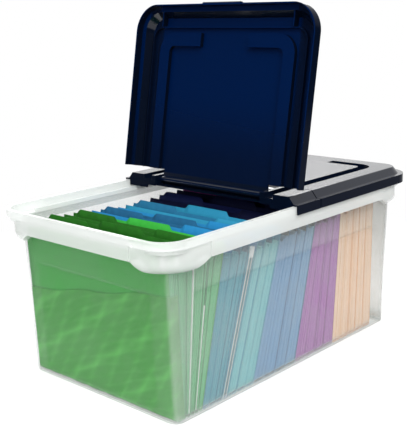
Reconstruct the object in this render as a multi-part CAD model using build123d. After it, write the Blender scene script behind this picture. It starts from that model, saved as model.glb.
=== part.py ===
"""Portable file box: a clear tapered tote with a hinged two-leaf lid and a row of card folders.

Frame: millimetres, +X along the long side, +Z up, origin at the centre of the tote's base.
The left leaf of the lid stands open at rest, and the right leaf is closed.
The tote's width and height follow from the files that stand in it.
"""
from build123d import *
import os
from math import atan2, cos, radians, sin, tan

os.makedirs("parts", exist_ok=True)

# ---------------------------------------------------------------- files
card = 0.6
folder_width = 298.0
front_height = 229.0
back_extra = 5.0             # the back stands this far above the front
tab_height = 7.0
tab_width = 96.0
tab_inset = 7.0              # from an outer tab to the folder's edge
paper_side_margin = 9.5
paper_top_margin = 13.0
paper_lift = 0.6             # the sheets' feet rest this far above the fold
soft_gap = 0.35              # loose things stay this far apart
row_gap_floor = 8.8          # from the outside of the left end wall to the row, at the floor
row_gap_top = 6.2            # the same at the ledge
row_free_floor = 42.0        # left free at the other end
row_free_top = 44.0

# colour, folders, and the group's thickness at the floor and at the top, before the row is fitted
groups = (
    ("green", 6, 47.2, 114.8),
    ("blue", 4, 53.0, 77.0),
    ("teal", 3, 57.0, 52.0),
    ("indigo", 4, 101.0, 86.0),
    ("magenta", 4, 101.0, 62.0),
    ("orange", 5, 112.0, 94.0),
)

# report in the last blue folder, held by a slide-on spine at its near edge
spine_width = 7.0
spine_depth = 7.0
spine_jaw = 2.35             # each side of the slit that grips the sheets
spine_head_length = 15.0
spine_head_width = 9.6

# ---------------------------------------------------------------- tote
rim_length = 584.0
rim_corner = 40.0
rim_top_width = 6.5          # from the rim's outside to the mouth
rim_plate = 2.4
rim_wall = 2.0
bead_height = 10.5           # the outer bead that the lid snaps over
skirt_depth = 31.5           # from the rim's top to the skirt's lower edge
skirt_step = 1.0             # the skirt stands this far inside the bead
tote_wall = 2.2
tote_floor = 2.6
file_side_gap = 3.3          # between the files and each long wall, at the floor
file_headroom = 15.9         # from the tabs to the rim's top
end_draft = 7.0              # lean of each wall from the floor to the ledge
side_draft = 5.5
base_corner = 16.0           # plan radius of the vertical corners at the floor
base_edge = 5.0              # rounding between the floor and the walls, outside
floor_fillet = 1.5           # the same, inside
body_top_corner = 20.0
ledge_depth = 14.5           # shelf inside the mouth, below the rim's top
ledge_thickness = 2.2
end_ledge = 17.5             # width of the shelf at the ends
side_ledge = 11.5            # and along the sides

# recessed panels in the four walls
panel_depth = 2.4
panel_low = 10.0
panel_below_ledge = 65.0
panel_corner = 9.0
panel_end_margin = 36.5      # bare wall each side of an end panel
panel_side_margin = 32.0     # and of a side panel

# corner gussets, the deep cups under the rim that serve as hand grips
gusset_depth = 46.5          # from the rim's top
gusset_corner_extra = 16.0   # added to the rim's plan radius
gusset_setback = 1.5         # inside the skirt's face
gusset_round = 14.5
gusset_long_top = 84.0       # length from the rim's end along the long side, at the skirt's edge
gusset_long_bottom = 60.0
gusset_short_top = 70.0      # the same along the short side
gusset_short_bottom = 47.0
gusset_rib_thickness = 1.8
gusset_rib_from_end = 34.0
gusset_rib_from_side = 28.0

# rails for hanging files, on the ledge along both long sides
rail_end_margin = 33.0
rail_thickness = 2.0
rail_height = 5.0

# ---------------------------------------------------------------- lid
lid_gap = 0.8                # between the rim and the lid's skirt
lid_seat = 0.2               # between the rim's top and the lid
lid_wall = 2.2
lid_skirt_height = 14.2      # from the skirt's lower edge to the top of the ledge
lid_ledge = 8.0
lid_shoulder = 9.0
lid_rise = 10.8              # from the ledge to the plateau
lid_edge_round = 2.0
groove_side_inset = 54.0     # centre line of the stiffening groove, from the lid's sides
groove_end_inset = 53.5      # and from its ends
groove_width = 19.0
groove_depth = 6.9
groove_corner = 20.0
groove_end_gap = 100.0       # left bare in the middle of each end
groove_taper = 14.0
thumb_tab_width = 76.0
thumb_tab_reach = 2.4
thumb_tab_height = 8.0
thumb_tab_chamfer = 1.4
frame_rib_end_inset = 33.0   # low rib round the inside of each leaf, from the lid's end
frame_rib_side_inset = 24.0  # and from its sides
frame_rib_thickness = 2.0
frame_rib_depth = 5.0
frame_rib_corner = 20.0
tie_rib_inset = 48.0         # deeper ribs from the shoulder to that rib, from the lid's sides
tie_rib_thickness = 2.0
catch_reach = 0.45
catch_height = 1.2
catch_length = 120.0

# hinge between each leaf and the bridge
hinge_offset = 13.5          # axis, from the middle of the box
hinge_drop = 7.2             # axis, below the plateau
hinge_pin_radius = 3.0
hinge_clearance = 0.06
hinge_pin_length = 8.0
hinge_barrel_radius = 4.5
hinge_boss_wall = 3.0
tongue_width = 218.0         # middle part of each leaf, which reaches the hinge
tongue_gap = 1.0
tongue_dip_start = 10.5      # the tongue drops to its barrel this far from the axis
tongue_dip_end = 4.5
leaf_cut_from_axis = 16.0    # the rest of the leaf stops here, clear of the bridge
bridge_half = 27.5
bridge_lip_end = 8.7         # the bridge's side walls reach this far below the rim's top, at the rim
bridge_lip_middle = 3.7      # and further in
bridge_drop_run = 18.0       # from the block's inner face to the change between the two
mouth_gap = 0.7              # between the bridge and the walls of the mouth
beam_half = 7.0
beam_rise = 2.5              # above the hinge axis
shelf_half = 24.0
open_angle = 100.4           # the open leaf leans this far round from closed

# ---------------------------------------------------------------- worked out
ample = 20.0                 # cutters run this far past what they cut
overlap = 1.0                # joined pieces run this far into each other
back_height = front_height + back_extra
file_height = back_height + tab_height
paper_width = folder_width - 2 * paper_side_margin
paper_height = front_height - paper_top_margin
spine_length = paper_height
tab_shift = folder_width / 2 - tab_inset - tab_width / 2
tab_places = (0.0, -tab_shift, tab_shift)
floor_z = tote_floor + soft_gap
base_width = folder_width + 2 * (file_side_gap + tote_wall)
body_top_width = base_width + 2 * side_draft
rim_width = body_top_width + 2 * (side_ledge + rim_top_width)
body_top_length = rim_length - 2 * (end_ledge + rim_top_width)
base_length = body_top_length - 2 * end_draft
rim_top = tote_floor + file_height + file_headroom
skirt_bottom = rim_top - skirt_depth
gusset_bottom = rim_top - gusset_depth
gusset_corner = rim_corner + gusset_corner_extra
ledge_top = rim_top - ledge_depth
bead_bottom = rim_top - bead_height
panel_high = ledge_top - panel_below_ledge
end_panel_span = base_width - 2 * panel_end_margin
side_panel_span = base_length - 2 * panel_side_margin
rail_length = body_top_length - 2 * rail_end_margin
mouth_length = rim_length - 2 * rim_top_width
mouth_width = rim_width - 2 * rim_top_width
mouth_corner = rim_corner - rim_top_width
lid_length = rim_length + 2 * (lid_gap + lid_wall)
lid_width = rim_width + 2 * (lid_gap + lid_wall)
lid_corner = rim_corner + lid_gap + lid_wall
lid_under = rim_top + lid_seat
lid_ledge_top = lid_under + lid_wall
lid_top = lid_ledge_top + lid_rise
lid_skirt_low = lid_ledge_top - lid_skirt_height
groove_side_offset = lid_width / 2 - groove_side_inset
groove_end_offset = lid_length / 2 - groove_end_inset
hinge_height = lid_top - hinge_drop
leaf_cut = hinge_offset + leaf_cut_from_axis
tongue_half = tongue_width / 2
block_inner = tongue_half + tongue_gap
bridge_low_end = lid_under - bridge_lip_end
bridge_low_middle = lid_under - bridge_lip_middle
bridge_drop_from = block_inner + bridge_drop_run
beam_top = hinge_height + beam_rise
row_start_bottom = row_gap_floor - base_length / 2
row_start_top = row_gap_top - body_top_length / 2
row_end_bottom = base_length / 2 - row_free_floor
row_end_top = body_top_length / 2 - row_free_top


def slab(length, width, corner, low, high):
    """Upright block with a rounded rectangular plan."""
    plan = Plane.XY.offset(low) * RectangleRounded(length, width, corner)
    return extrude(plan, high - low)


def tapered(low, high, lower, upper):
    """Block between two rounded rectangles, each given as length, width and corner radius."""
    sections = [Plane.XY.offset(z) * RectangleRounded(*size) for z, size in ((low, lower), (high, upper))]
    return loft(sections)


def box(x_range, y_range, z_range):
    """Box between two limits on each axis."""
    size = [high - low for low, high in (x_range, y_range, z_range)]
    middle = [(high + low) / 2 for low, high in (x_range, y_range, z_range)]
    return Pos(*middle) * Box(*size)


def prism_along_y(points, y_range):
    """Polygon of x, z points carried along Y."""
    low, high = y_range
    outline = Plane.XZ.offset(-low) * make_face(Polyline(*points, close=True))
    return extrude(outline, low - high)


def prism_along_x(points, x_range):
    """Polygon of y, z points carried along X."""
    low, high = x_range
    outline = Plane.YZ.offset(low) * make_face(Polyline(*points, close=True))
    return extrude(outline, high - low)


def rod_along_y(radius, x, z, y_range):
    """Round bar along Y."""
    low, high = y_range
    return Pos(x, (low + high) / 2, z) * Rot(90, 0, 0) * Cylinder(radius, high - low)


def four_corners(piece):
    """A piece and its copies mirrored in X, in Y and in both."""
    pair = [piece, mirror(piece, Plane.YZ)]
    return pair + [mirror(item, Plane.XZ) for item in pair]


# ---------------------------------------------------------------- tote
def body_size(z, inset):
    """Length, width and corner radius of the tapered body at a height."""
    share = z / ledge_top
    length = base_length + (body_top_length - base_length) * share
    width = base_width + (body_top_width - base_width) * share
    corner = base_corner + (body_top_corner - base_corner) * share
    return length - 2 * inset, width - 2 * inset, corner - inset


def body_block(inset, low, rounding):
    """Solid of the body's outside, or of its inside when inset by the wall."""
    block = tapered(low, ledge_top, body_size(low, inset), body_size(ledge_top, inset))
    return fillet(block.edges().group_by(Axis.Z)[0], rounding)


def panel(half_base, half_top, span, turn, shift):
    """Flat-bottomed recess in the wall that faces +X before the turn about Z.

    The recess lies on the wall's own sloping plane with sides at 45 degrees. A shift moves it into
    the wall, and grows it so that the wall keeps its thickness all round.
    """
    lean = atan2(half_top - half_base, ledge_top)
    middle = (panel_low + panel_high) / 2
    x = half_base + middle * tan(lean)
    face = Plane(origin=(x, 0, middle), x_dir=(0, 1, 0), z_dir=(cos(lean), 0, -sin(lean)))
    grow = 2 * shift * tan(radians(22.5))
    height = (panel_high - panel_low) / cos(lean)
    lead = shift + overlap
    mouth = RectangleRounded(span + grow + 2 * lead, height + grow + 2 * lead, panel_corner + lead)
    bottom = RectangleRounded(span + grow - 2 * panel_depth, height + grow - 2 * panel_depth,
                              panel_corner - panel_depth)
    recess = loft([face.offset(lead - shift) * mouth, face.offset(-panel_depth - shift) * bottom])
    return Rot(0, 0, turn) * recess


def panels(shift):
    """The recesses of all four walls."""
    ends = [panel(base_length / 2, body_top_length / 2, end_panel_span, turn, shift) for turn in (0, 180)]
    sides = [panel(base_width / 2, body_top_width / 2, side_panel_span, turn, shift) for turn in (90, 270)]
    return ends + sides


def corner_zone(inset):
    """Plan of one deep corner under the rim, with ends that slope in towards the bottom."""
    half_length = rim_length / 2
    half_width = rim_width / 2
    low = gusset_bottom - overlap
    slope_long = (gusset_long_top - gusset_long_bottom) / (skirt_bottom - gusset_bottom)
    slope_short = (gusset_short_top - gusset_short_bottom) / (skirt_bottom - gusset_bottom)

    def outline(half, reach_bottom, slope):
        start = half - reach_bottom + slope * overlap + inset
        edge = half - reach_bottom - slope * (skirt_bottom - gusset_bottom) + inset
        return ((start, low), (half + ample, low), (half + ample, rim_top), (edge, rim_top),
                (edge, skirt_bottom))

    along_x = prism_along_y(outline(half_length, gusset_long_bottom, slope_long), (0, half_width + ample))
    along_y = prism_along_x(outline(half_width, gusset_short_bottom, slope_short), (0, half_length + ample))
    return along_x & along_y


def corner_skirt(inset):
    """Block inside the deep corners' outer faces, rounded under its lower edge."""
    back = 2 * (skirt_step + gusset_setback + inset)
    block = slab(rim_length - back, rim_width - back, gusset_corner - inset, gusset_bottom + inset,
                 rim_top - rim_plate)
    return fillet(block.edges().group_by(Axis.Z)[0], gusset_round - inset)


def rim_channel():
    """Space inside the rim's downturned skirt, deeper in the four corners."""
    back = 2 * (skirt_step + rim_wall)
    space = slab(rim_length - back, rim_width - back, rim_corner - back / 2, skirt_bottom - ample,
                 rim_top - rim_plate)
    inner_corner = corner_skirt(rim_wall)
    for outer_zone in four_corners(corner_zone(0)):
        space -= outer_zone
    upper = box((-rim_length, rim_length), (-rim_width, rim_width), (skirt_bottom, rim_top))
    for zone, small_zone in zip(four_corners(corner_zone(0)), four_corners(corner_zone(rim_wall))):
        space += inner_corner & zone & upper
        space += inner_corner & small_zone
    return space


def gusset_ribs():
    """Upright ribs in each deep corner, one from each face to the body."""
    x = rim_length / 2 - gusset_rib_from_end
    y = rim_width / 2 - gusset_rib_from_side
    half = gusset_rib_thickness / 2
    z_range = (gusset_bottom, rim_top - rim_plate)
    body_half_length = base_length / 2
    body_half_width = base_width / 2
    across = box((x - half, x + half), (body_half_width, rim_width / 2), z_range)
    along = box((body_half_length, rim_length / 2), (y - half, y + half), z_range)
    space = corner_skirt(rim_wall / 2)
    return four_corners(across & space) + four_corners(along & space)


def tote():
    """Clear tote: tapered body, stepped rim, deep grip corners, inner ledge and file rails."""
    back = 2 * skirt_step
    skirt = slab(rim_length - back, rim_width - back, rim_corner - skirt_step, skirt_bottom, bead_bottom)
    corners = corner_skirt(0)
    for zone in four_corners(corner_zone(0)):
        skirt -= zone
        skirt += corners & zone
    shell = slab(rim_length, rim_width, rim_corner, bead_bottom, rim_top) + skirt
    shell -= rim_channel()
    inner = 2 * (rim_top_width - rim_wall)
    shell += slab(rim_length - inner, rim_width - inner, rim_corner - inner / 2,
                  ledge_top - ledge_thickness, rim_top)
    outside = body_block(0, 0, base_edge)
    inside = body_block(tote_wall, tote_floor, floor_fillet)
    for recess, grown in zip(panels(0), panels(tote_wall)):
        outside -= recess
        inside -= grown
    shell += outside
    for rib in gusset_ribs():
        shell += rib
    shell -= slab(mouth_length, mouth_width, mouth_corner, ledge_top, rim_top + ample)
    shell -= inside
    rail_outer = body_size(ledge_top, 0)[1] / 2
    for side in (-1, 1):
        ys = sorted((side * rail_outer, side * (rail_outer - rail_thickness)))
        shell += box((-rail_length / 2, rail_length / 2), ys, (ledge_top - ledge_thickness,
                                                              ledge_top + rail_height))
    return shell


# ---------------------------------------------------------------- lid
def groove_plan(grow):
    """Plan of the groove: a rounded frame, open in the middle of both ends."""
    wide = groove_width / 2 + grow
    outer = RectangleRounded(2 * (groove_end_offset + wide), 2 * (groove_side_offset + wide),
                             groove_corner + wide)
    inner = RectangleRounded(2 * (groove_end_offset - wide), 2 * (groove_side_offset - wide),
                             groove_corner - wide)
    return outer - inner - Rectangle(2 * groove_end_offset + 4 * wide, groove_end_gap - 2 * grow)


def lid_tray():
    """The whole lid as one tray, before it is divided into the bridge and the two leaves."""
    foot = 2 * lid_ledge
    top = 2 * (lid_ledge + lid_shoulder)
    skirt = slab(lid_length, lid_width, lid_corner, lid_skirt_low, lid_ledge_top)
    tier = tapered(lid_ledge_top, lid_top,
                   (lid_length - foot, lid_width - foot, lid_corner - foot / 2),
                   (lid_length - top, lid_width - top, lid_corner - top / 2))
    tier = fillet(tier.edges().group_by(Axis.Z)[-1], lid_edge_round)
    back = 2 * lid_wall
    under = slab(lid_length - back, lid_width - back, lid_corner - lid_wall, lid_skirt_low - ample,
                 lid_under)
    under_tier = tapered(lid_under, lid_top - lid_wall,
                         (lid_length - foot - back, lid_width - foot - back,
                          lid_corner - foot / 2 - lid_wall),
                         (lid_length - top - back, lid_width - top - back,
                          lid_corner - top / 2 - lid_wall / 2))
    rib = extrude(Plane.XY.offset(lid_top - groove_depth - lid_wall) * groove_plan(lid_wall / 2),
                  groove_depth + lid_wall / 2)
    groove = extrude(Plane.XY.offset(lid_top) * groove_plan(0), -groove_depth, taper=groove_taper)
    return (skirt + tier - under - under_tier) + rib + frame_rib() - groove


def frame_rib():
    """Low rib under the plateau, a rounded frame that stops at the cut between leaf and bridge."""
    length = lid_length - 2 * frame_rib_end_inset
    width = lid_width - 2 * frame_rib_side_inset
    run = (lid_top - lid_wall - frame_rib_depth, lid_top - lid_wall / 2)
    back = 2 * frame_rib_thickness
    ring = slab(length, width, frame_rib_corner, *run)
    ring -= slab(length - back, width - back, frame_rib_corner - frame_rib_thickness, *run)
    return ring - box((-leaf_cut, leaf_cut), (-lid_width, lid_width), run)


def catch():
    """Low bead inside the right leaf's end skirt, which snaps under the rim's bead."""
    x = lid_length / 2 - lid_wall
    points = ((x, lid_skirt_low), (x - catch_reach, lid_skirt_low + catch_height / 2),
              (x, lid_skirt_low + catch_height))
    return prism_along_y(points, (-catch_length / 2, catch_length / 2))


def right_leaf(tray):
    """Leaf of the lid that covers the +X half, as it lies closed."""
    end = lid_length / 2
    leaf = tray & box((leaf_cut, end + ample), (-lid_width, lid_width), (0, lid_top + ample))
    axis_x = hinge_offset
    barrel_top = hinge_height + hinge_barrel_radius
    tongue = prism_along_y(
        ((axis_x, barrel_top), (axis_x + tongue_dip_end, barrel_top), (axis_x + tongue_dip_start, lid_top),
         (leaf_cut + overlap, lid_top), (leaf_cut + overlap, lid_top - lid_wall),
         (axis_x + tongue_dip_start + lid_wall / 2, lid_top - lid_wall),
         (axis_x + tongue_dip_end + lid_wall / 2, barrel_top - lid_wall), (axis_x, barrel_top - lid_wall)),
        (-tongue_half, tongue_half))
    leaf += tongue
    leaf += rod_along_y(hinge_barrel_radius, axis_x, hinge_height, (-tongue_half, tongue_half))
    pin_end = tongue_half + hinge_pin_length
    leaf += rod_along_y(hinge_pin_radius, axis_x, hinge_height, (-pin_end, pin_end))
    tab = box((end - lid_wall, end + thumb_tab_reach), (-thumb_tab_width / 2, thumb_tab_width / 2),
              (lid_skirt_low, lid_skirt_low + thumb_tab_height))
    tab = chamfer(tab.edges().filter_by(Axis.Y).group_by(Axis.X)[-1], thumb_tab_chamfer)
    leaf += tab
    for side in (-1, 1):
        y = side * (lid_width / 2 - tie_rib_inset)
        half = tie_rib_thickness / 2
        foot = end - lid_ledge - lid_wall / 2
        inner = end - frame_rib_end_inset
        high = lid_top - lid_wall / 2
        points = ((foot, lid_under), (foot - lid_shoulder, high), (inner, high), (inner, lid_under))
        leaf += prism_along_y(points, (y - half, y + half))
    leaf += catch()
    return leaf


def bridge(tray):
    """Fixed middle part of the lid: two end blocks, the beam between the hinges and a dust shelf."""
    mouth_half = mouth_width / 2 - mouth_gap
    zone_z = (0, lid_top + ample)
    blocks = tray & box((-bridge_half, bridge_half), (block_inner, lid_width), zone_z)
    wall = lid_wall
    boss_radius = hinge_pin_radius + hinge_clearance + hinge_boss_wall
    boss_depth = hinge_pin_length + tongue_gap + hinge_boss_wall
    high = lid_top - lid_wall / 2
    profile = ((block_inner, bridge_low_middle), (bridge_drop_from, bridge_low_middle),
               (bridge_drop_from + wall, bridge_low_end), (mouth_half, bridge_low_end),
               (mouth_half, lid_under), (lid_width / 2 - lid_ledge - lid_shoulder, high),
               (block_inner, high))
    for side in (-1, 1):
        faces = sorted((side * bridge_half, side * (bridge_half - wall)))
        blocks += prism_along_x(profile, faces)
    blocks += box((-bridge_half, bridge_half), (block_inner, block_inner + wall), (bridge_low_middle, high))
    for side in (-1, 1):
        blocks += rod_along_y(boss_radius, side * hinge_offset, hinge_height,
                              (block_inner, block_inner + boss_depth))
    blocks -= box((-bridge_half, bridge_half), (0, lid_width), (lid_top, lid_top + ample))
    groove = extrude(Plane.XY.offset(lid_top) * groove_plan(0), -groove_depth, taper=groove_taper)
    blocks -= groove
    for side in (-1, 1):
        blocks -= rod_along_y(hinge_pin_radius + hinge_clearance, side * hinge_offset, hinge_height,
                              (block_inner - overlap, tongue_half + hinge_pin_length + tongue_gap))
    whole = blocks + mirror(blocks, Plane.XZ)
    run = (-block_inner - wall / 2, block_inner + wall / 2)
    beam = box((-beam_half, beam_half), run, (bridge_low_middle, beam_top))
    beam -= box((-beam_half + wall, beam_half - wall), (-block_inner, block_inner), (0, beam_top - wall))
    shelf = box((-shelf_half, shelf_half), run, (bridge_low_middle, bridge_low_middle + wall))
    return whole + beam + shelf


# ---------------------------------------------------------------- folders
def folder_slots():
    """Each folder's colour, number, and the two leaning lines that bound it at the floor and the top."""
    fit_bottom = (row_end_bottom - row_start_bottom) / sum(group[2] for group in groups)
    fit_top = (row_end_top - row_start_top) / sum(group[3] for group in groups)
    slots = []
    bottom = row_start_bottom
    top = row_start_top
    for colour, count, thick_bottom, thick_top in groups:
        step_bottom = thick_bottom * fit_bottom / count
        step_top = thick_top * fit_top / count
        for number in range(count):
            slots.append((colour, number + 1, (bottom, top), (bottom + step_bottom, top + step_top)))
            bottom += step_bottom
            top += step_top
    return slots


def along(line, height, shift):
    """Point at a slant height up a leaning line, moved in X by a shift."""
    run = line[1] - line[0]
    lean = atan2(run, file_height)
    return (line[0] + height * sin(lean) + shift, floor_z + height * cos(lean))


def leaning_sheet(line, heights, shift, thickness, y_range):
    """Flat sheet between two slant heights of a leaning line."""
    low, high = heights
    points = (along(line, low, shift), along(line, low, shift + thickness),
              along(line, high, shift + thickness), along(line, high, shift))
    return prism_along_y(points, y_range)


def folder(number, left, right):
    """Folded card: a short front, a spine on the floor, and a taller back with a tab."""
    half = folder_width / 2
    width = (-half, half)
    front = leaning_sheet(left, (0, front_height), soft_gap / 2, card, width)
    back = leaning_sheet(right, (0, back_height), -soft_gap / 2 - card, card, width)
    place = tab_places[number % len(tab_places)]
    tab_range = (place - tab_width / 2, place + tab_width / 2)
    tab = leaning_sheet(right, (back_height - overlap, file_height), -soft_gap / 2 - card, card, tab_range)
    spine = box((left[0] + soft_gap / 2, right[0] - soft_gap / 2), width, (floor_z, floor_z + card))
    return front + back + tab + spine


def papers(left, right):
    """Bundle of sheets between a folder's front and back."""
    inset = soft_gap / 2 + card + soft_gap
    low = card + soft_gap + paper_lift
    points = (along(left, low, inset), along(right, low, -inset),
              along(right, paper_height, -inset), along(left, paper_height, inset))
    return prism_along_y(points, (-paper_width / 2, paper_width / 2))


def report_spine(left, right):
    """Slide-on spine with a wider head, standing in a folder beside its papers."""
    low = card + soft_gap
    line = ((left[0] + right[0]) / 2, (left[1] + right[1]) / 2)
    near = -folder_width / 2 + soft_gap
    far = near + spine_depth
    bar = leaning_sheet(line, (low, low + spine_length), -spine_width / 2, spine_width, (near, far))
    slit_width = spine_width - 2 * spine_jaw
    slit = leaning_sheet(line, (low, low + spine_length - spine_head_length), -slit_width / 2, slit_width,
                         (near + spine_jaw, far + overlap))
    head = leaning_sheet(line, (low + spine_length - spine_head_length, low + spine_length),
                         -spine_head_width / 2, spine_head_width, (near, far))
    return bar - slit + head


# ---------------------------------------------------------------- build and write
def write(name, shape):
    """Store one node's solids as parts/NAME.step."""
    shape.label = name
    export_step(shape, os.path.join("parts", name + ".step"))


def main():
    write("tote", tote())
    tray = lid_tray()
    write("lid_bridge", bridge(tray))
    closed = right_leaf(tray)
    write("lid_leaf_right", closed)
    axis = Axis((-hinge_offset, 0, hinge_height), (0, 1, 0))
    write("lid_leaf_left", mirror(closed, Plane.YZ).rotate(axis, open_angle))
    for colour, number, left, right in folder_slots():
        write(f"folder_{colour}_{number}", folder(number, left, right))
        write(f"papers_{colour}_{number}", papers(left, right))
        if colour == "blue" and number == 4:
            write("report_spine", report_spine(left, right))


main()
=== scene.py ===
"""Looks of a portable file box: clear polypropylene tote, navy lid in two leaves, coloured card folders.

Metres, +X along the box, +Z up, origin at the centre of the tote's base. Folders and papers are worked out in
millimetres and scaled as they are made.
"""
from math import cos, radians, sin

import bpy
import numpy as np
from mathutils import Matrix, Vector


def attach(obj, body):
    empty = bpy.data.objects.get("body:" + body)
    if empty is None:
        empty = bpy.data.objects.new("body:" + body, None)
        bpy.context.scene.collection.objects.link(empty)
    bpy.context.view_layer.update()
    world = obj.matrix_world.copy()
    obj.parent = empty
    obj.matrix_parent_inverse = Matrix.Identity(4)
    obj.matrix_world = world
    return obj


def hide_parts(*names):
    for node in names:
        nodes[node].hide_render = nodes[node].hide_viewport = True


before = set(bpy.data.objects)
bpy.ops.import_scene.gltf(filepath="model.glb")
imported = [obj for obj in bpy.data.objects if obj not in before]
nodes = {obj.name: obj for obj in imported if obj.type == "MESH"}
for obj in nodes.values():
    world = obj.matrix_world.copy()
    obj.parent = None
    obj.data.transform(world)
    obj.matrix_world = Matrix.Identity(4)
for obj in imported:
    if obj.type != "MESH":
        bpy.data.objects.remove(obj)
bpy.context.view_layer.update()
MM = 0.001
COLOUR_A, COLOUR_B, COLOUR_OUT = 6, 7, 2   # where a Mix node keeps its two colours and their mixture


# ---------------------------------------------------------------- colours and nodes
def colour(text):
    """An sRGB hex colour as linear red, green and blue, with full alpha."""
    values = [int(text[i:i + 2], 16) / 255 for i in (0, 2, 4)]
    return tuple(v / 12.92 if v <= 0.04045 else ((v + 0.055) / 1.055) ** 2.4 for v in values) + (1.0,)


def add(tree, kind, inputs=(), **settings):
    """Adds one node with its settings. Each input is a value, or a link from a socket or from a node's
    first output."""
    node = tree.nodes.new(kind)
    for key, value in settings.items():
        setattr(node, key, value)
    for key, value in dict(inputs).items():
        if isinstance(value, bpy.types.Node):
            value = value.outputs[0]
        if isinstance(value, bpy.types.NodeSocket):
            tree.links.new(value, node.inputs[key])
        else:
            node.inputs[key].default_value = value
    return node


def new_material(name):
    """A material with an empty tree, and the tree."""
    material = bpy.data.materials.new(name)
    material.use_nodes = True
    material.node_tree.nodes.clear()
    return material, material.node_tree


def finish_material(tree, inputs):
    """Puts one Principled shader, with its values and links, on the material's output."""
    shader = add(tree, "ShaderNodeBsdfPrincipled", inputs)
    add(tree, "ShaderNodeOutputMaterial", {"Surface": shader})


# ---------------------------------------------------------------- row of folders, as in the CAD source, in mm
CARD = 0.6
FOLDER_WIDTH = 298.0
FRONT_HEIGHT = 229.0
BACK_HEIGHT = 234.0
TAB_HEIGHT = 7.0
TAB_WIDTH = 96.0
TAB_SHIFT = 94.0
TAB_FLANK = 9.0
FOLD_HEIGHT = 4.0            # slant height at which a card starts to turn into its fold
FOLD_RUN = 3.0               # length of the turn along the floor
FOLD_BULGE = 0.1             # how far the turn swells past the card's plane
CARD_TRIM = 1.2              # how much shorter a card may be cut
CUT_DEPTH = 0.3              # how far in from a card's sides the paler cut edge reaches
PAPER_WIDTH = 279.0
PAPER_HEIGHT = 216.0
PAPER_LIFT = 3.2             # the outer sheets rest in the curve of the fold
PAPER_SHIFT = (-9.4, -8.4)   # the papers lie against the near side of their folders
PAPER_CLEAR = 0.15           # free room between papers and card
PAPER_TRIM = 7.0             # how much lower a sheaf may stand
SHEAF_COUNT = (4, 8)         # fewest sheaves in a folder, and one more than the most
SHEAF_SPREAD = (0.6, 1.4)    # thinnest and thickest sheaf, before they share out the folder's room
SHEAF_SPACE = 0.05           # share of a sheaf's room that stays free beside it
SOFT_GAP = 0.35
FLOOR_Z = 2.95
FILE_HEIGHT = 241.0
ROW_START = (-252.2, -261.8)
ROW_ENDS = (-262.0, 226.0)
SWAY = 0.9                   # greatest push of one wave of the row's bend
SWAY_FADE = 60.0             # length over which the bend dies out at each end of the row
# colour, number of folders, and the group's thickness along X at the floor and at the top
GROUPS = (
    ("green", 6, 47.2, 114.8),
    ("blue", 4, 53.0, 77.0),
    ("teal", 3, 57.0, 52.0),
    ("indigo", 4, 101.0, 86.0),
    ("magenta", 4, 101.0, 62.0),
    ("orange", 5, 112.0, 94.0),
)
SPINE_FOLDER = ("blue", 4)
SPINE_SHEAVES = (0.0, 0.15, 0.39, 0.62, 0.85, 1.0)   # edges of the sheaves beside and behind the spine
# folders with plain sheets: their share of the room, and their height
WHITE_SHEETS = {("green", 3): (0.8, 214.0), ("green", 5): (0.3, 150.0)}
WHITE_HALF = 0.04            # half the white sheaf's share of the room
WHITE_CLEAR = 0.01           # share of the room that stays free on each side of it
WHITE_PLACE = 1000.0         # its sheet_place, far past those of the tinted sheaves


def slots():
    """Each folder's colour, number and leaning lines, each line as its X at the floor and at the top."""
    found = []
    bottom, top = ROW_START
    for name, count, thick_bottom, thick_top in GROUPS:
        for number in range(1, count + 1):
            left = (bottom, top)
            bottom += thick_bottom / count
            top += thick_top / count
            found.append((name, number, left, (bottom, top)))
    return found


def stand(line, height, shift):
    """X and Z of a leaning sheet at a slant height: the line's X moves by height times the sine of its
    lean, and Z rises by height times the cosine."""
    run = line[1] - line[0]
    length = np.hypot(run, FILE_HEIGHT)
    return line[0] + height * run / length + shift, FLOOR_Z + height * FILE_HEIGHT / length


def sway(x, y, z):
    """Shared gentle bend of the row, in mm along X: nil at the floor and growing with the square of the
    height, as two slow waves across the width, fading out towards both ends of the row. Neighbours bend
    together, so that they stay apart."""
    rise = np.clip((z - FLOOR_Z) / FILE_HEIGHT, 0, 1) ** 2
    wave = np.sin(y / 61.0 + x / 47.0) + 0.6 * np.sin(y / 29.0 - x / 83.0 + 1.3)
    middle = (np.clip((x - ROW_ENDS[0]) / SWAY_FADE, 0, 1)
              * np.clip((ROW_ENDS[1] - x) / SWAY_FADE, 0, 1))
    return SWAY * rise * wave * middle


def mesh_piece(name, points, faces, material, smooth=True):
    """A mesh from whole arrays of points in mm and of quads, riding on the box."""
    mesh = bpy.data.meshes.new(name)
    mesh.from_pydata((np.asarray(points).reshape(-1, 3) * MM).tolist(), [], np.asarray(faces).tolist())
    if smooth:
        mesh.shade_smooth()
    else:
        mesh.shade_flat()
    mesh.materials.append(material)
    piece = bpy.data.objects.new(name, mesh)
    bpy.context.scene.collection.objects.link(piece)
    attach(piece, "box")
    return piece


def mark_points(piece, name, values):
    """Gives a piece's points an attribute that its material reads."""
    mark = piece.data.attributes.new(name, "FLOAT", "POINT")
    mark.data.foreach_set("value", values.astype(np.float32))


def grid_faces(rows, columns, start=0):
    """Quads of a grid of points stored row after row."""
    corner = start + (np.arange(rows - 1)[:, None] * columns + np.arange(columns - 1)[None, :]).ravel()
    return np.stack([corner, corner + 1, corner + columns + 1, corner + columns], 1)


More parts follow.
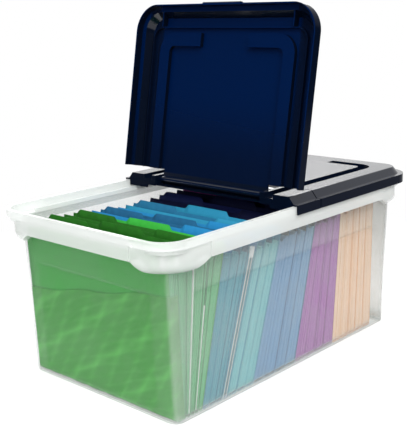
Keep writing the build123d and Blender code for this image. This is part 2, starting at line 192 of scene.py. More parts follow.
def solid_between(front, back):
    """Closed solid between two grids of points of one shape, joined round the border by a strip of quads.

    Faces point outwards where the back grid lies on the side of the columns' direction crossed with the
    rows' direction.
    """
    rows, columns = front.shape[:2]
    count = rows * columns
    index = np.arange(count).reshape(rows, columns)
    border = np.concatenate([index[0, :-1], index[:-1, -1], index[-1, :0:-1], index[:0:-1, 0]])
    after = np.roll(border, -1)
    faces = np.concatenate([grid_faces(rows, columns, count), grid_faces(rows, columns)[:, ::-1],
                            np.stack([border, after, after + count, border + count], 1)])
    return np.concatenate([front.reshape(-1, 3), back.reshape(-1, 3)]), faces


def thin_solid(mid, thickness):
    """Closed solid round a grid of points: the grid moved half the thickness each way along its unit
    normals, which are the cross product of its two directions of travel."""
    normal = np.cross(np.gradient(mid, axis=1), np.gradient(mid, axis=0))
    normal /= np.maximum(np.linalg.norm(normal, axis=2, keepdims=True), 1e-9)
    return solid_between(mid - normal * thickness / 2, mid + normal * thickness / 2)


def tab_profile(y, place):
    """Height of a tab above the back's edge: full over the tab, falling by a cosine over its two flanks."""
    away = np.abs(y - place) - (TAB_WIDTH / 2 - TAB_FLANK)
    return TAB_HEIGHT * 0.5 * (1 + np.cos(np.pi * np.clip(away / TAB_FLANK, 0, 1)))


def fold_curve(start, knee, stop, turn):
    """Quadratic curve from start to stop, pulled towards the knee between them."""
    return (1 - turn) ** 2 * start + 2 * turn * (1 - turn) * knee + turn ** 2 * stop


def folder_points(left, right, place, rng):
    """Folded card as one grid: down the front, round the fold at the floor, and up the back, by width.

    Each row is a height on the card, and the back's top rows follow the tab's profile across the width.
    The fold is a flat run along the floor between two quadratic curves.
    """
    half = FOLDER_WIDTH / 2
    flank = np.linspace(-1, 1, 9) * TAB_FLANK / 2
    tab_sides = [place + side * (TAB_WIDTH - TAB_FLANK) / 2 + flank for side in (-1, 1)]
    y = np.unique(np.concatenate([np.linspace(-half, half, 19), *tab_sides]).clip(-half, half))
    inset = (SOFT_GAP + CARD) / 2
    base = FLOOR_Z + CARD / 2
    share = np.linspace(1, 0, 15)[:, None]
    trim = rng.uniform(-CARD_TRIM, 0.0)
    front = FOLD_HEIGHT + (FRONT_HEIGHT + trim - FOLD_HEIGHT) * share + 0 * y
    top = BACK_HEIGHT + trim + tab_profile(y, place)
    back = FOLD_HEIGHT + (top - FOLD_HEIGHT) * share[::-1]
    front_x, front_z = stand(left, front, inset)
    back_x, back_z = stand(right, back, -inset)
    turn = np.linspace(0, 1, 5)[1:-1, None]
    run = np.linspace(0, 1, 4)[:, None]
    low_front, low_back = front_x[-1] + FOLD_RUN, back_x[0] - FOLD_RUN
    x = np.concatenate([
        front_x,
        fold_curve(front_x[-1], front_x[-1] - FOLD_BULGE, low_front, turn),
        low_front + (low_back - low_front) * run,
        fold_curve(low_back, back_x[0] + FOLD_BULGE, back_x[0], turn),
        back_x])
    z = np.concatenate([
        front_z,
        fold_curve(front_z[-1], base, base, turn),
        base + 0 * run * low_front,
        fold_curve(base, base, back_z[0], turn),
        back_z])
    y = np.broadcast_to(y, x.shape)
    return np.stack([x + sway(x, y, z), y, z], 2)


def sheaf_points(left, right, low, high, height, shift):
    """Front and back of one sheaf as two grids at two shares of the folder's room, so that the sheaf fans
    out where the folder is wider."""
    inset = SOFT_GAP / 2 + CARD + PAPER_CLEAR
    lift = CARD + SOFT_GAP + PAPER_LIFT
    y = np.linspace(-PAPER_WIDTH / 2, PAPER_WIDTH / 2, 21)[None, :] + shift
    rise = lift + (height - lift) * np.linspace(0, 1, 9)[:, None] + 0 * y
    y = np.broadcast_to(y, rise.shape)
    grids = []
    for share in (low, high):
        line = tuple(l + inset + (r - l - 2 * inset) * share for l, r in zip(left, right))
        x, z = stand(line, rise, 0.0)
        grids.append(np.stack([x + sway(x, y, z), y, z], 2))
    return grids


def sheaves_of(room, white, spine, rng):
    """Each sheaf's two shares of the room, its height, and its sheet_place at both faces, which runs
    through the thickness in mm from a random start."""
    count = int(rng.integers(*SHEAF_COUNT))
    edges = np.concatenate([[0.0], np.cumsum(rng.uniform(*SHEAF_SPREAD, count))])
    edges = SPINE_SHEAVES if spine else edges / edges[-1]
    found = [(low, high - SHEAF_SPACE * (high - low), PAPER_HEIGHT - rng.uniform(0, PAPER_TRIM),
              rng.uniform(0, 40)) for low, high in zip(edges[:-1], edges[1:])]
    if white:
        middle, height = white
        low, high = middle - WHITE_HALF, middle + WHITE_HALF
        found = [sheaf for sheaf in found if sheaf[1] < low - WHITE_CLEAR or sheaf[0] > high + WHITE_CLEAR]
        found.append((low, high, height, WHITE_PLACE))
    return [(low, high, height, (start, start + (high - low) * room)) for low, high, height, start in found]


def bundle(name, left, right, material, rng, white, spine):
    """Papers of one folder as one piece: sheaves side by side that share the folder's room, each with its
    own height and side shift. With white, one thin sheaf of a given share and height is plain paper. With
    spine, the middle sheaves stand back, to leave room for the slide-on spine."""
    room = (right[1] - left[1] + right[0] - left[0]) / 2
    points, faces, places, total = [], [], [], 0
    for low, high, height, place in sheaves_of(room, white, spine, rng):
        behind_spine = spine and low in SPINE_SHEAVES[1:-2]
        shift = 0.0 if behind_spine else rng.uniform(*PAPER_SHIFT)
        sheaf, quads = solid_between(*sheaf_points(left, right, low, high, height, shift))
        points.append(sheaf)
        faces.append(quads + total)
        places.append(np.repeat(place, len(sheaf) // 2))
        total += len(sheaf)
    piece = mesh_piece(name, np.concatenate(points), np.concatenate(faces), material, smooth=False)
    mark_points(piece, "sheet_place", np.concatenate(places))
    return piece


# ---------------------------------------------------------------- loose sheet, in mm
SHEET_THICKNESS = 0.16
SHEET_BEND = 4.5             # radius round the box's inner corners
SHEET_WING = 9.0             # length that turns along each long wall
SHEET_HALF = 150.7           # half the width from wing to wing
SHEET_FOOT = 4.2             # height of its lower edge
SHEET_TOP = 157.5            # height of its top edge at the middle of the box
SHEET_FALL = 1 / 6           # how much that edge falls to each mm across the box
GAP_X = -254.35              # middle of the gap behind the end wall, at the height of the base
GAP_LEAN = -6.1 / 180        # how much it moves to each mm of height
PLAY = 1.45                  # how far a crumple may stand out, at the height of the base
PLAY_LOSS = 0.75 / 180       # how much less that is to each mm of height
# creases: their size, their direction in radians, their share of the height, and their phase
CREASES = ((21.0, 0.6, 0.8, 0.0), (9.0, 1.05, 0.7, 1.7), (4.5, 0.35, 0.6, 4.1))


def crumpled_sheet():
    """Mid surface and crease heights of a loose green sheet by the end wall, bent round both corners of
    the box.

    In plan it is a straight run, two quarter circles and two short wings. Its X follows the middle of the
    gap, and its top edge falls across the width in a slow wave. Crumples are ridged waves: one minus the
    absolute sine of a bent diagonal, at three sizes, squared so that creases are sharp.
    """
    run = 2 * (SHEET_HALF - SHEET_BEND)
    arc = SHEET_BEND * np.pi / 2
    run_start, run_end = SHEET_WING + arc, SHEET_WING + arc + run
    along = np.linspace(0, run_end + arc + SHEET_WING, 241)
    turn_a = np.clip((along - SHEET_WING) / SHEET_BEND, 0, np.pi / 2)
    turn_b = np.clip((along - run_end) / SHEET_BEND, 0, np.pi / 2)
    y = (-SHEET_HALF + SHEET_BEND * (1 - np.cos(turn_a)) + np.clip(along - run_start, 0, run)
         + SHEET_BEND * np.sin(turn_b))
    back = (np.clip(SHEET_WING - along, 0, None) + SHEET_BEND * (1 - np.sin(turn_a))
            + SHEET_BEND * (1 - np.cos(turn_b)) + np.clip(along - run_end - arc, 0, None))
    back = np.where((along > run_start) & (along < run_end), 0.0, back)
    top = SHEET_TOP - SHEET_FALL * y + 2.0 * np.sin(y / 19.0)
    z = SHEET_FOOT + (top - SHEET_FOOT)[None, :] * np.linspace(0, 1, 121)[:, None]
    u = along[None, :] + 0 * z
    crease = 0
    for size, turn, weight, phase in CREASES:
        # each diagonal is bent by a slower wave that runs across it
        slow = (u * np.cos(turn + 1.2) - z * np.sin(turn + 1.2)) / (1.7 * size)
        bent = 0.35 * size * np.sin(slow + phase)
        diagonal = (u * np.sin(turn) + z * np.cos(turn) + bent) / size
        crease = crease + weight * (1 - np.abs(np.sin(diagonal))) ** 2
    # crests stand out to one side and troughs to the other, dying out over the last 20 mm before the corners
    flat = (back[None, :] == 0) * np.clip((run / 2 - np.abs(y)) / 20.0, 0, 1)[None, :]
    push_out = (PLAY - PLAY_LOSS * z) * flat * (crease / 1.2 - 0.45).clip(-0.9, 0.9)
    x = GAP_X + GAP_LEAN * z + back[None, :] + push_out
    highest = sum(weight for _, _, weight, _ in CREASES)
    return np.stack([x, np.broadcast_to(y, z.shape), z], 2), crease / highest


# ---------------------------------------------------------------- materials, in metres
WALL_LINE = (0.2725, 0.1645)  # half sizes of a rounded rectangle between the body's wall and the skirt
WALL_CORNER = 0.030           # its corners' radius
SHOULDER_Y = 0.150            # middle of the leaves' shoulders
HINGE_HEIGHT = 0.2655
LEAF_RAISED = 100.4           # degrees by which the left leaf stands open


def clear_polypropylene():
    """Injection-moulded clear polypropylene with a fine grain 1.4 mm across: clearer in the recessed panels
    than on the posts, and milky at the rim, where the wall turns over on itself. It shows as a veil over
    the contents, in soft clouds 70 mm across, and denser on the long walls, which are scuffed more than the
    ends. At the end past the folders the veil is thickened all over inside, as painted shade that greys
    what is seen through that end. Edge-on a wall hides more and looks greyer, as clear plastic does."""
    material, tree = new_material("clear_polypropylene_moulded")
    place = add(tree, "ShaderNodeTexCoord").outputs["Object"]
    x, y, up = add(tree, "ShaderNodeSeparateXYZ", {0: place}).outputs
    across = add(tree, "ShaderNodeMath", {0: x}, operation="ABSOLUTE")
    aside = add(tree, "ShaderNodeMath", {0: y}, operation="ABSOLUTE")
    # distance in plan from the rectangle of the corners' centres: it is the radius all along the wall line
    centres = (WALL_LINE[0] - WALL_CORNER, WALL_LINE[1] - WALL_CORNER, 0.0)
    past = add(tree, "ShaderNodeVectorMath", {0: place, 1: (1.0, 1.0, 0.0)}, operation="MULTIPLY")
    past = add(tree, "ShaderNodeVectorMath", {0: past}, operation="ABSOLUTE")
    past = add(tree, "ShaderNodeVectorMath", {0: past, 1: centres}, operation="SUBTRACT")
    past = add(tree, "ShaderNodeVectorMath", {0: past, 1: (0.0, 0.0, 0.0)}, operation="MAXIMUM")
    around = add(tree, "ShaderNodeVectorMath", {0: past}, operation="LENGTH").outputs["Value"]
    cloud = add(tree, "ShaderNodeTexNoise", {"Vector": place, "Scale": 1 / (71.4 * MM), "Detail": 2.0})
    facing = add(tree, "ShaderNodeLayerWeight", {"Blend": 0.5}).outputs["Facing"]
    # smooth steps: what each follows, where it starts and stops, and its values there
    steps = {
        "skirt": (around, WALL_CORNER - 0.0010, WALL_CORNER + 0.0002, 0.0, 1.0),
        "ledge": (up, 0.2425, 0.2440, 0.0, 1.0),
        "panel_foot": (up, 0.0095, 0.0120, 0.0, 1.0),
        "panel_head": (up, 0.1810, 0.1785, 0.0, 1.0),
        "side_depth": (aside, 0.1480, 0.1500, 0.0, 1.0),
        "side_width": (across, 0.2300, 0.2270, 0.0, 1.0),
        "end_depth": (across, 0.2520, 0.2540, 0.0, 1.0),
        "end_width": (aside, 0.1190, 0.1165, 0.0, 1.0),
        "long_wall": (aside, 0.1440, 0.1500, 0.0, 1.0),
        # painted shade: the veil thickens all over the end past the folders, greying what shows through it
        "shaded_end": (x, 0.2450, 0.2520, 0.0, 0.42),
        "thick_foot": (up, 0.016, 0.006, 1.0, 1.5),
        "cloudy": (cloud, 0.3, 0.7, 0.88, 1.12),
        "rim": (up, 0.2140, 0.2560, 0.40, 0.56),
        "edge_on": (facing, 0.45, 0.95, 0.0, 1.0),
    }
    at = {}
    for step, (value, low, high, start, stop) in steps.items():
        at[step] = add(tree, "ShaderNodeMapRange", {
            "Value": value, "From Min": low, "From Max": high, "To Min": start, "To Max": stop},
            interpolation_type="SMOOTHSTEP")
    outside = add(tree, "ShaderNodeMath", {0: at["skirt"], 1: at["ledge"]}, operation="MAXIMUM")
    tall = add(tree, "ShaderNodeMath", {0: at["panel_foot"], 1: at["panel_head"]}, operation="MULTIPLY")
    side = add(tree, "ShaderNodeMath", {0: at["side_depth"], 1: at["side_width"]}, operation="MULTIPLY")
    end = add(tree, "ShaderNodeMath", {0: at["end_depth"], 1: at["end_width"]}, operation="MULTIPLY")
    panel = add(tree, "ShaderNodeMath", {0: side, 1: end}, operation="MAXIMUM")
    panel = add(tree, "ShaderNodeMath", {0: panel, 1: tall}, operation="MULTIPLY")
    end_veil = add(tree, "ShaderNodeMix", {"Factor": panel, "A": 0.075, "B": 0.055})
    long_veil = add(tree, "ShaderNodeMix", {"Factor": panel, "A": 0.20, "B": 0.15})
    veil = add(tree, "ShaderNodeMix", {"Factor": at["long_wall"], "A": end_veil, "B": long_veil})
    veil = add(tree, "ShaderNodeMath", {0: veil, 1: at["shaded_end"]}, operation="MAXIMUM")
    veil = add(tree, "ShaderNodeMath", {0: veil, 1: at["thick_foot"]}, operation="MULTIPLY")
    veil = add(tree, "ShaderNodeMath", {0: veil, 1: at["cloudy"]}, operation="MULTIPLY")
    # the rim turns denser towards its bead, where the plastic is thickest
    solid = add(tree, "ShaderNodeMix", {"Factor": outside, "A": veil, "B": at["rim"]})
    denser = add(tree, "ShaderNodeMath", {0: solid, 1: 0.45}, operation="MAXIMUM")
    alpha = add(tree, "ShaderNodeMix", {"Factor": at["edge_on"], "A": solid, "B": denser})
    inside = add(tree, "ShaderNodeMath", {0: 1.0, 1: outside}, operation="SUBTRACT")
    grey = add(tree, "ShaderNodeMath", {0: at["edge_on"], 1: inside}, operation="MULTIPLY")
    body = add(tree, "ShaderNodeMix", {
        "Factor": outside, COLOUR_A: colour("CDD4D0"), COLOUR_B: colour("F6F9F7")},
        data_type="RGBA").outputs[COLOUR_OUT]
    body = add(tree, "ShaderNodeMix", {"Factor": grey, COLOUR_A: body, COLOUR_B: colour("8E9893")},
               data_type="RGBA").outputs[COLOUR_OUT]
    grain = add(tree, "ShaderNodeTexNoise", {"Vector": place, "Scale": 1 / (1.43 * MM), "Detail": 3.0})
    bump = add(tree, "ShaderNodeBump", {"Height": grain, "Strength": 0.05, "Distance": 0.4 * MM})
    finish_material(tree, {
        "Base Color": body, "Alpha": alpha, "Normal": bump, "Roughness": 0.15, "IOR": 1.49})
    return material


def navy_polypropylene(name, raised):
    """Injection-moulded navy polypropylene: its upper side mirrors its surroundings at low angles, its
    underside a little less, and its upright sides stay dull. Its colour holds painted light: faces that
    look straight down are painted a deeper, brighter blue, as if lit through from behind, and painted
    shade darkens them towards the hinges and by the shoulders; all other faces are near-black navy. A
    fine grain 1.1 mm across runs all over, and the field inside the stiffening groove is more matt. The
    angle by which a leaf is raised gives the direction that its underside faces: minus the sine along X,
    and minus the cosine along Z."""
    material, tree = new_material(name)
    coordinates = add(tree, "ShaderNodeTexCoord").outputs
    place = coordinates["Object"]
    x, y, _ = add(tree, "ShaderNodeSeparateXYZ", {0: place}).outputs
    aside = add(tree, "ShaderNodeMath", {0: y}, operation="ABSOLUTE")
    under = (-sin(raised), 0.0, -cos(raised))
    facing = add(tree, "ShaderNodeVectorMath", {0: coordinates["Normal"], 1: under}, operation="DOT_PRODUCT")
    facing = facing.outputs["Value"]
    # how far a point lies from the hinges' line, for the painted shade near them
    reach = add(tree, "ShaderNodeVectorMath", {0: place, 1: (0.0, 0.0, HINGE_HEIGHT)}, operation="SUBTRACT")
    reach = add(tree, "ShaderNodeVectorMath", {0: reach, 1: (1.0, 0.0, 1.0)}, operation="MULTIPLY")
    reach = add(tree, "ShaderNodeVectorMath", {0: reach}, operation="LENGTH").outputs["Value"]
    # how far it lies from the middle of the shoulders, where painted shade darkens the underside
    shoulder = add(tree, "ShaderNodeMath", {0: aside, 1: SHOULDER_Y}, operation="SUBTRACT")
    shoulder = add(tree, "ShaderNodeMath", {0: shoulder}, operation="ABSOLUTE")
    # steps: what each follows, where it starts and stops, its values there, and its kind
    steps = {
        "underside_lit": (facing, 0.93, 0.985, 0.0, 1.0, "SMOOTHSTEP"),
        "hinge_shade": (reach, 0.02, 0.15, 0.35, 1.0, "SMOOTHSTEP"),
        "shoulder_shade": (shoulder, 0.014, 0.006, 1.0, 0.2, "SMOOTHSTEP"),
        "field": (aside, 0.1285, 0.1255, 0.0, 1.0, "LINEAR"),
        "along": (x, 0.2430, 0.2400, 0.0, 1.0, "LINEAR"),
        "flat_top": (facing, -0.90, -0.97, 0.0, 1.0, "LINEAR"),
        "above": (facing, -0.50, -0.72, 0.0, 1.0, "LINEAR"),
        "below": (facing, 0.15, 0.5, 0.0, 0.8, "LINEAR"),
    }
    at = {}
    for step, (value, low, high, start, stop, kind) in steps.items():
        at[step] = add(tree, "ShaderNodeMapRange", {
            "Value": value, "From Min": low, "From Max": high, "To Min": start, "To Max": stop},
            interpolation_type=kind)
    # painted light: faces looking straight down take a brighter blue, as if lit through from behind, dimmed
    # by painted shade near the hinges and the shoulders
    painted_light = add(tree, "ShaderNodeMath", {0: at["underside_lit"], 1: at["hinge_shade"]}, operation="MULTIPLY")
    painted_light = add(tree, "ShaderNodeMath", {0: painted_light, 1: at["shoulder_shade"]}, operation="MULTIPLY")
    tint = add(tree, "ShaderNodeMix", {"Factor": painted_light, COLOUR_A: colour("060E1E"), COLOUR_B: colour("00173F")},
               data_type="RGBA").outputs[COLOUR_OUT]
    matt = add(tree, "ShaderNodeMath", {0: at["field"], 1: at["along"]}, operation="MULTIPLY")
    matt = add(tree, "ShaderNodeMath", {0: matt, 1: at["flat_top"]}, operation="MULTIPLY")
    rough = add(tree, "ShaderNodeMix", {"Factor": matt, "A": 0.14, "B": 0.30})
    gloss = add(tree, "ShaderNodeMath", {0: at["above"], 1: at["below"]}, operation="MAXIMUM")
    grain = add(tree, "ShaderNodeTexNoise", {"Vector": place, "Scale": 1 / (1.11 * MM), "Detail": 2.0})
    bump = add(tree, "ShaderNodeBump", {"Height": grain, "Strength": 0.03, "Distance": 0.3 * MM})
    finish_material(tree, {
        "Base Color": tint, "Roughness": rough, "Normal": bump, "IOR": 1.49, "Specular IOR Level": 0.03,
        "Coat Weight": gloss, "Coat IOR": 1.56, "Coat Roughness": 0.12})
    return material


def pressboard(name, dark, light, cut):
    """Dyed pressboard, calendered smooth: two close tones of one dye in a soft mottle 10 mm across, with
    faint fibres 2 mm across in the relief, and a low sheen. The dye sits near the faces, so the cut edges
    at both sides are paler."""
    material, tree = new_material(name + "_pressboard_dyed")
    place = add(tree, "ShaderNodeTexCoord").outputs["Object"]
    mottle = add(tree, "ShaderNodeTexNoise", {"Vector": place, "Scale": 1 / (10 * MM), "Detail": 4.0})
    tint = add(tree, "ShaderNodeMix", {"Factor": mottle, COLOUR_A: colour(dark), COLOUR_B: colour(light)},
               data_type="RGBA").outputs[COLOUR_OUT]
    y = add(tree, "ShaderNodeSeparateXYZ", {0: place}).outputs["Y"]
    aside = add(tree, "ShaderNodeMath", {0: y}, operation="ABSOLUTE")
    edge = (FOLDER_WIDTH / 2 - CUT_DEPTH) * MM
    sheared = add(tree, "ShaderNodeMath", {0: aside, 1: edge}, operation="GREATER_THAN")
    tint = add(tree, "ShaderNodeMix", {"Factor": sheared, COLOUR_A: tint, COLOUR_B: colour(cut)},
               data_type="RGBA").outputs[COLOUR_OUT]
    fibre = add(tree, "ShaderNodeTexNoise", {"Vector": place, "Scale": 1 / (2 * MM), "Detail": 3.0})
    bump = add(tree, "ShaderNodeBump", {"Height": fibre, "Strength": 0.02, "Distance": 0.1 * MM})
    finish_material(tree, {
        "Base Color": tint, "Normal": bump, "Roughness": 0.7, "IOR": 1.45, "Specular IOR Level": 0.2})
    return material


def tinted_paper(name, dark, light):
    """Uncoated tinted office paper: matt. Through a sheaf's thickness its sheets differ in tone, in bands
    2 mm across with finer lines in them, and the odd sheaf is plain white. The bands are coarser than
    single sheets, so that they show."""
    material, tree = new_material(name + "_paper_uncoated")
    place = add(tree, "ShaderNodeAttribute", attribute_name="sheet_place").outputs["Fac"]
    bands = add(tree, "ShaderNodeTexNoise", {"W": place, "Scale": 1 / 2.0, "Detail": 3.0},
                noise_dimensions="1D")
    tone = add(tree, "ShaderNodeMapRange", {"Value": bands, "From Min": 0.28, "From Max": 0.72})
    tint = add(tree, "ShaderNodeMix", {"Factor": tone, COLOUR_A: colour(dark), COLOUR_B: colour(light)},
               data_type="RGBA").outputs[COLOUR_OUT]
    plain = add(tree, "ShaderNodeMath", {0: place, 1: WHITE_PLACE - 100.0}, operation="GREATER_THAN")
    tint = add(tree, "ShaderNodeMix", {"Factor": plain, COLOUR_A: tint, COLOUR_B: colour("FAFBF8")},
               data_type="RGBA").outputs[COLOUR_OUT]
    spot = add(tree, "ShaderNodeTexCoord").outputs["Object"]
    fibre = add(tree, "ShaderNodeTexNoise", {"Vector": spot, "Scale": 1 / (2 * MM), "Detail": 3.0})
    bump = add(tree, "ShaderNodeBump", {"Height": fibre, "Strength": 0.1, "Distance": 0.1 * MM})
    finish_material(tree, {
        "Base Color": tint, "Normal": bump, "Roughness": 0.85, "IOR": 1.4, "Specular IOR Level": 0.2})
    return material


def milky_pvc(left, right):
    """Extruded PVC of the slide-on spine, milky and half clear: its two rounded sides and its head read as
    pale lines, and between them it is nearly clear. The measure across it is the dot product of a point's
    way from the spine's foot with the unit normal of its lean."""
    material, tree = new_material("milky_pvc_extruded")
    foot, top = (left[0] + right[0]) / 2, (left[1] + right[1]) / 2
    length = np.hypot(top - foot, FILE_HEIGHT)
    lean = ((top - foot) / length, 0.0, FILE_HEIGHT / length)
    place = add(tree, "ShaderNodeTexCoord").outputs["Object"]
    start = (foot * MM, 0.0, FLOOR_Z * MM)
    way = add(tree, "ShaderNodeVectorMath", {0: place, 1: start}, operation="SUBTRACT")
    across = add(tree, "ShaderNodeVectorMath", {0: way, 1: (lean[2], 0.0, -lean[0])}, operation="DOT_PRODUCT")
    across = add(tree, "ShaderNodeMath", {0: across.outputs["Value"]}, operation="ABSOLUTE")
    up = add(tree, "ShaderNodeVectorMath", {0: way, 1: lean}, operation="DOT_PRODUCT").outputs["Value"]
    y = add(tree, "ShaderNodeSeparateXYZ", {0: place}).outputs["Y"]
    # linear steps: what each follows, where it starts and stops, and its values there
    steps = {
        "lip": (across, 0.0021, 0.0027, 0.06, 0.9),
        "near_face": (y, -0.1474, -0.1482, 0.1, 1.0),
        "head": (up, 0.2005, 0.2035, 0.0, 0.85),
    }
    at = {}
    for step, (value, low, high, start, stop) in steps.items():
        at[step] = add(tree, "ShaderNodeMapRange", {
            "Value": value, "From Min": low, "From Max": high, "To Min": start, "To Max": stop})
    sides = add(tree, "ShaderNodeMath", {0: at["lip"], 1: at["near_face"]}, operation="MULTIPLY")
    alpha = add(tree, "ShaderNodeMath", {0: sides, 1: at["head"]}, operation="MAXIMUM")
    finish_material(tree, {"Base Color": colour("F8FAFA"), "Alpha": alpha, "Roughness": 0.2, "IOR": 1.53})
    return material


def crumpled_paper():
    """Thin dyed paper, crumpled and smoothed out: the dye has rubbed paler along the creases."""
    material, tree = new_material("green_paper_crumpled")
    rubbed = add(tree, "ShaderNodeAttribute", attribute_name="crease").outputs["Fac"]
    sharp = add(tree, "ShaderNodeMapRange", {"Value": rubbed, "From Min": 0.15, "From Max": 0.75})
    tint = add(tree, "ShaderNodeMix", {
        "Factor": sharp, COLOUR_A: colour("2B8A24"), COLOUR_B: colour("47A83E")},
        data_type="RGBA").outputs[COLOUR_OUT]
    bump = add(tree, "ShaderNodeBump", {"Height": rubbed, "Strength": 0.6, "Distance": 1.5 * MM})
    finish_material(tree, {
        "Base Color": tint, "Normal": bump, "Roughness": 0.6, "IOR": 1.42, "Specular IOR Level": 0.3})
    return material


# card dark and light, then paper dark and light; the card's cut edges have the dark paper's colour. Where a
# dye has a lighter copy below, this card is held darker as painted shade
DYES = {
    "green": ("124808", "1B660F", "339050", "66C083"),
    "blue": ("0C4668", "155A80", "207A92", "50A8B5"),
    "teal": ("125478", "1A688A", "49A0AC", "81C6C9"),
    "indigo": ("080D2A", "0E143C", "477AA8", "7CA8CC"),
    "magenta": ("7E2C70", "963A86", "8B3692", "B86DBD"),
    "orange": ("DC9058", "ECA670", "E9B88D", "F4DCC6"),
}
# lighter copies of some cards, dark and light: painted light for the folders that stand lit
LIT_CARD_DYES = {
    "green": ("26902A", "34A23A"),
    "blue": ("10699A", "1C7CB0"),
    "teal": ("1A7698", "2683A4"),
    "indigo": ("121A48", "1A2458"),
}
# the folders that take the painted-light card
LIT_FOLDERS = {("green", 1), ("green", 6), ("blue", 1), ("blue", 4), ("teal", 1), ("teal", 3), ("indigo", 2)}

# ---------------------------------------------------------------- the box, its lid and the spine
spine_room = next(slot[2:] for slot in slots() if slot[:2] == SPINE_FOLDER)
navy = navy_polypropylene("navy_polypropylene_moulded", 0.0)
finishes = {
    "tote": clear_polypropylene(),
    "lid_bridge": navy,
    "lid_leaf_right": navy,
    "lid_leaf_left": navy_polypropylene("navy_polypropylene_raised_leaf", radians(LEAF_RAISED)),
    "report_spine": milky_pvc(*spine_room),
}
for node, finish in finishes.items():
    nodes[node].data.materials.clear()
    nodes[node].data.materials.append(finish)

# ---------------------------------------------------------------- folders, papers and the loose sheet
cards = {name: pressboard(name, dark, light, paper) for name, (dark, light, paper, _) in DYES.items()}
lit_cards = {name: pressboard(name + "_painted_lit", dark, light, DYES[name][2])
                for name, (dark, light) in LIT_CARD_DYES.items()}
sheets = {name: tinted_paper(name, dark, light) for name, (_, _, dark, light) in DYES.items()}
rng = np.random.default_rng(11)
tab_places = (0.0, -TAB_SHIFT, TAB_SHIFT)
for name, number, left, right in slots():
    folder = (name, number)
    # painted light: these folders take the lighter card, the others the card held darker as painted shade
    card = lit_cards[name] if folder in LIT_FOLDERS else cards[name]
    points, faces = thin_solid(folder_points(left, right, tab_places[number % 3], rng), CARD)
    card_piece = mesh_piece(f"card_{name}_{number}", points, faces, card)
    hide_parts(f"folder_{name}_{number}")
    paper_piece = bundle(f"sheets_{name}_{number}", left, right, sheets[name], rng, WHITE_SHEETS.get(folder),
                         folder == SPINE_FOLDER)
    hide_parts(f"papers_{name}_{number}")

mid, crease = crumpled_sheet()
points, faces = thin_solid(mid, SHEET_THICKNESS)
loose = mesh_piece("loose_sheet_green", points, faces, crumpled_paper())
mark_points(loose, "crease", np.tile(crease.ravel(), 2))

# ---------------------------------------------------------------- floor and surroundings
scene = bpy.context.scene
scene.view_settings.view_transform = "Standard"
WHITE = (1.0, 1.0, 1.0, 1.0)
FLOOR_HALF = 6.0
FADE_START, FADE_END = 0.45, 0.95   # where the floor starts and stops fading into white
FLOOR_GLOW = 0.27            # what the floor adds for the rays that look at it, so that it shows as white
WORLD_LIGHT = 0.72           # the surroundings' light on the box, while the rays that look at them see white
CURTAIN_RADIUS, CURTAIN_HEIGHT, CURTAIN_POINTS = 3.0, 4.0, 43


def looked_at(tree):
    """One for rays from the camera, through clear plastic or off a glossy surface, and nil for all others."""
    rays = add(tree, "ShaderNodeLightPath").outputs
    looked = add(tree, "ShaderNodeMath", {0: rays["Is Camera Ray"], 1: rays["Is Transmission Ray"]},
                 operation="MAXIMUM")
    return add(tree, "ShaderNodeMath", {0: looked, 1: rays["Is Glossy Ray"]}, operation="MAXIMUM")


def stage_piece(name, points, faces, material):
    """A piece of the studio, which stays out of the part."""
    mesh = bpy.data.meshes.new(name)
    mesh.from_pydata(points, [], faces)
    mesh.materials.append(material)
    piece = bpy.data.objects.new(name, mesh)
    scene.collection.objects.link(piece)
    return piece


def studio_paper():
    """Matt white paper that takes the box's shadow, and fades into plain white farther out for the rays
    that look at it."""
    material, tree = new_material("studio_paper_matt")
    paper = add(tree, "ShaderNodeBsdfDiffuse", {"Color": (0.80, 0.80, 0.80, 1)})
    looked = looked_at(tree)
    dim = add(tree, "ShaderNodeMath", {0: looked, 1: FLOOR_GLOW}, operation="MULTIPLY")
    glow = add(tree, "ShaderNodeEmission", {"Color": WHITE, "Strength": dim})
    near = add(tree, "ShaderNodeAddShader", {0: paper, 1: glow})
    far = add(tree, "ShaderNodeEmission", {"Color": WHITE, "Strength": looked})
    spot = add(tree, "ShaderNodeTexCoord").outputs["Object"]
    away = add(tree, "ShaderNodeVectorMath", {0: spot}, operation="LENGTH").outputs["Value"]
    fade = add(tree, "ShaderNodeMapRange", {"Value": away, "From Min": FADE_START, "From Max": FADE_END},
               interpolation_type="SMOOTHSTEP")
    both = add(tree, "ShaderNodeMixShader", {0: fade, 1: near, 2: far})
    add(tree, "ShaderNodeOutputMaterial", {"Surface": both})
    return material


def curtain():
    """Black cloth hung round one side of the studio, which only reflections see: part of a cylinder, its
    points at equal angles about the upright axis, from the floor up."""
    material, tree = new_material("black_cloth")
    black = add(tree, "ShaderNodeBsdfDiffuse", {"Color": (0.02, 0.02, 0.02, 1)})
    add(tree, "ShaderNodeOutputMaterial", {"Surface": black})
    angle = np.tile(np.radians(np.linspace(118.0, 328.0, CURTAIN_POINTS)), 2)
    height = np.repeat((0.0, CURTAIN_HEIGHT), CURTAIN_POINTS)
    points = np.stack([CURTAIN_RADIUS * np.cos(angle), CURTAIN_RADIUS * np.sin(angle), height], 1)
    cloth = stage_piece("studio_curtain", points.tolist(), grid_faces(2, CURTAIN_POINTS).tolist(), material)
    cloth.visible_camera = cloth.visible_diffuse = cloth.visible_transmission = cloth.visible_shadow = False


floor_corners = [(x * FLOOR_HALF, y * FLOOR_HALF, 0) for x, y in ((-1, -1), (1, -1), (1, 1), (-1, 1))]
stage_piece("studio_floor", floor_corners, [(0, 1, 2, 3)], studio_paper())
curtain()

world = bpy.data.worlds.new("studio")
scene.world = world
world.use_nodes = True
world.node_tree.nodes.clear()
tree = world.node_tree
strength = add(tree, "ShaderNodeMix", {"Factor": looked_at(tree), "A": WORLD_LIGHT, "B": 1.0})
sky = add(tree, "ShaderNodeBackground", {"Color": WHITE, "Strength": strength})
add(tree, "ShaderNodeOutputWorld", {"Surface": sky})


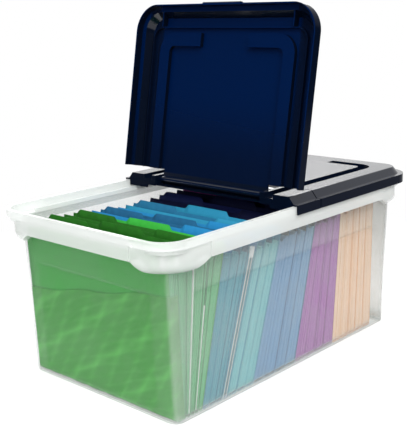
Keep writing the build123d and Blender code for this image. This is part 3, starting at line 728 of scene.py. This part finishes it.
# ---------------------------------------------------------------- lamps and camera
def softbox(name, place, target, size, power):
    """Rectangular area lamp aimed at a point."""
    lamp = bpy.data.lights.new(name, "AREA")
    lamp.shape = "RECTANGLE"
    lamp.size, lamp.size_y = size
    lamp.energy = power
    holder = bpy.data.objects.new(name, lamp)
    scene.collection.objects.link(holder)
    holder.location = place
    holder.rotation_mode = "QUATERNION"
    holder.rotation_quaternion = (Vector(target) - Vector(place)).to_track_quat("-Z", "Y")
    return holder


softbox("key_softbox", (-0.9, -1.5, 1.9), (0, 0, 0.15), (1.2, 1.2), 43.0)
softbox("end_softbox", (-2.2, -0.2, 1.0), (-0.2, 0, 0.15), (1.0, 1.0), 12.5)
softbox("top_softbox", (0.2, 0.3, 2.2), (0, 0, 0.2), (1.6, 1.2), 18.0)
back_softbox = softbox("back_softbox", (1.65, 1.50, 1.35), (0.15, 0, 0.27), (1.3, 0.8), 23.0)
back_softbox.visible_camera = False

# pinhole camera: its place, its turns in radians, and its lens and shift in pixels of the image
CAMERA_PLACE = (-1.01372, -0.91209, 0.54722)
YAW, PITCH, ROLL = 0.8277, 0.2346, -0.0255
IMAGE_HEIGHT, FOCAL_LENGTH = 428, 879.42
SHIFT_ACROSS, SHIFT_UP = -4.5, -1.5
SENSOR = 36.0
forward = Vector((sin(YAW) * cos(PITCH), cos(YAW) * cos(PITCH), -sin(PITCH)))
level = Vector((cos(YAW), -sin(YAW), 0))
upright = level.cross(forward)
right_axis = cos(ROLL) * level + sin(ROLL) * upright
up_axis = -sin(ROLL) * level + cos(ROLL) * upright
camera_data = bpy.data.cameras.new("camera")
camera_data.sensor_width = SENSOR
camera_data.lens = FOCAL_LENGTH / IMAGE_HEIGHT * SENSOR
camera_data.shift_x = SHIFT_ACROSS / IMAGE_HEIGHT
camera_data.shift_y = SHIFT_UP / IMAGE_HEIGHT
camera_data.clip_start = 0.05
camera = bpy.data.objects.new("camera", camera_data)
scene.collection.objects.link(camera)
camera_axes = Matrix((right_axis, up_axis, -forward)).transposed().to_4x4()
camera.matrix_world = Matrix.Translation(CAMERA_PLACE) @ camera_axes
scene.camera = camera
